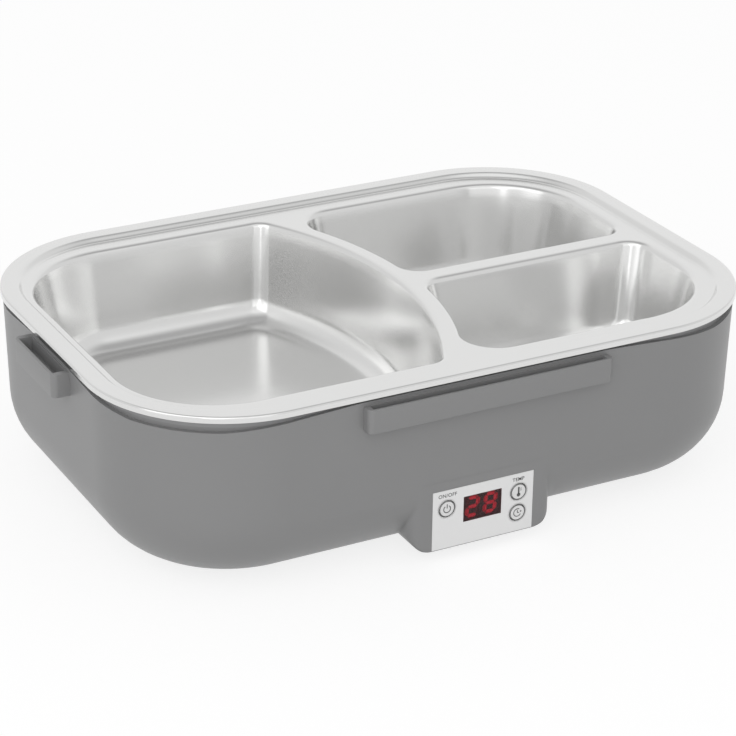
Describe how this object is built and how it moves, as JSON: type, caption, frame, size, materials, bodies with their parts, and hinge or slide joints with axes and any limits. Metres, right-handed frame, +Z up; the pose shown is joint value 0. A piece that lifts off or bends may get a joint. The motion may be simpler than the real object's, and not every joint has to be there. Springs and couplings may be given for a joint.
{
  "type": "electric lunch box",
  "caption": "Low rectangular electric lunch box with rounded corners, a lift-out steel tray split into compartments, push buttons and a small digital display on its front.",
  "frame": {"origin": "centre of the footprint, on the surface the feet stand on", "axes": "+Z up, the control panel faces -Y, +X to the right of someone facing the panel"},
  "size_m": [0.2606, 0.1808, 0.0702],
  "materials": {
    "casing_plastic": "satin",
    "liner_plastic": "satin",
    "tray_steel": "satin",
    "heater_aluminium": "cast",
    "ceramic_white": "glazed",
    "fastener_steel": "plated",
    "foot_rubber": "matt",
    "board_laminate": "solder mask",
    "relay_plastic": "moulded",
    "capacitor_plastic": "moulded",
    "terminal_plastic": "moulded",
    "black_plastic": "moulded",
    "red_segments": "lit segments",
    "smoked_window": "smoked, clear",
    "label_plastic": "printed film",
    "button_plastic": "satin",
    "mains_sleeve": "smooth",
    "heater_sleeve": "silicone"
  },
  "bodies": {
    "casing": {"outer_casing": "casing_plastic", "inner_liner": "liner_plastic", "heater_plate": "heater_aluminium", "heating_element": "heater_aluminium", "thermostat": "ceramic_white", "thermal_fuse": "ceramic_white", "heater_clamp": "fastener_steel", "clamp_screws": "fastener_steel", "plate_screws": "fastener_steel", "liner_screws": "fastener_steel", "rubber_feet": "foot_rubber", "base_cover": "casing_plastic", "base_screws": "fastener_steel", "power_board": "board_laminate", "power_relay": "relay_plastic", "filter_capacitor": "capacitor_plastic", "terminal_block": "terminal_plastic", "board_screws": "fastener_steel", "control_board": "board_laminate", "control_screws": "fastener_steel", "tact_switches": "black_plastic", "display_module": "black_plastic", "display_digits": "red_segments", "display_window": "smoked_window", "control_label": "label_plastic", "inlet_socket": "black_plastic", "inlet_pins": "fastener_steel", "mains_wires": "mains_sleeve", "heater_wires": "heater_sleeve", "signal_cable": "heater_sleeve"},
    "tray": {"food_tray": "tray_steel"},
    "power_button": {"power_button": "button_plastic"},
    "temperature_button": {"temperature_button": "button_plastic"},
    "timer_button": {"timer_button": "button_plastic"}
  },
  "joints": [
    {"name": "tray_lift", "type": "slide", "parent": "casing", "child": "tray", "axis": [0, 0, 1], "range_m": [0, 0.06]},
    {"name": "power_button_press", "type": "slide", "parent": "casing", "child": "power_button", "axis": [0, 1, 0], "range_m": [0, 0.0004], "stiffness_N_per_m": 1500, "springref_m": -0.0003},
    {"name": "temperature_button_press", "type": "slide", "parent": "casing", "child": "temperature_button", "axis": [0, 1, 0], "range_m": [0, 0.0004], "stiffness_N_per_m": 1500, "springref_m": -0.0003},
    {"name": "timer_button_press", "type": "slide", "parent": "casing", "child": "timer_button", "axis": [0, 1, 0], "range_m": [0, 0.0004], "stiffness_N_per_m": 1500, "springref_m": -0.0003}
  ]
}
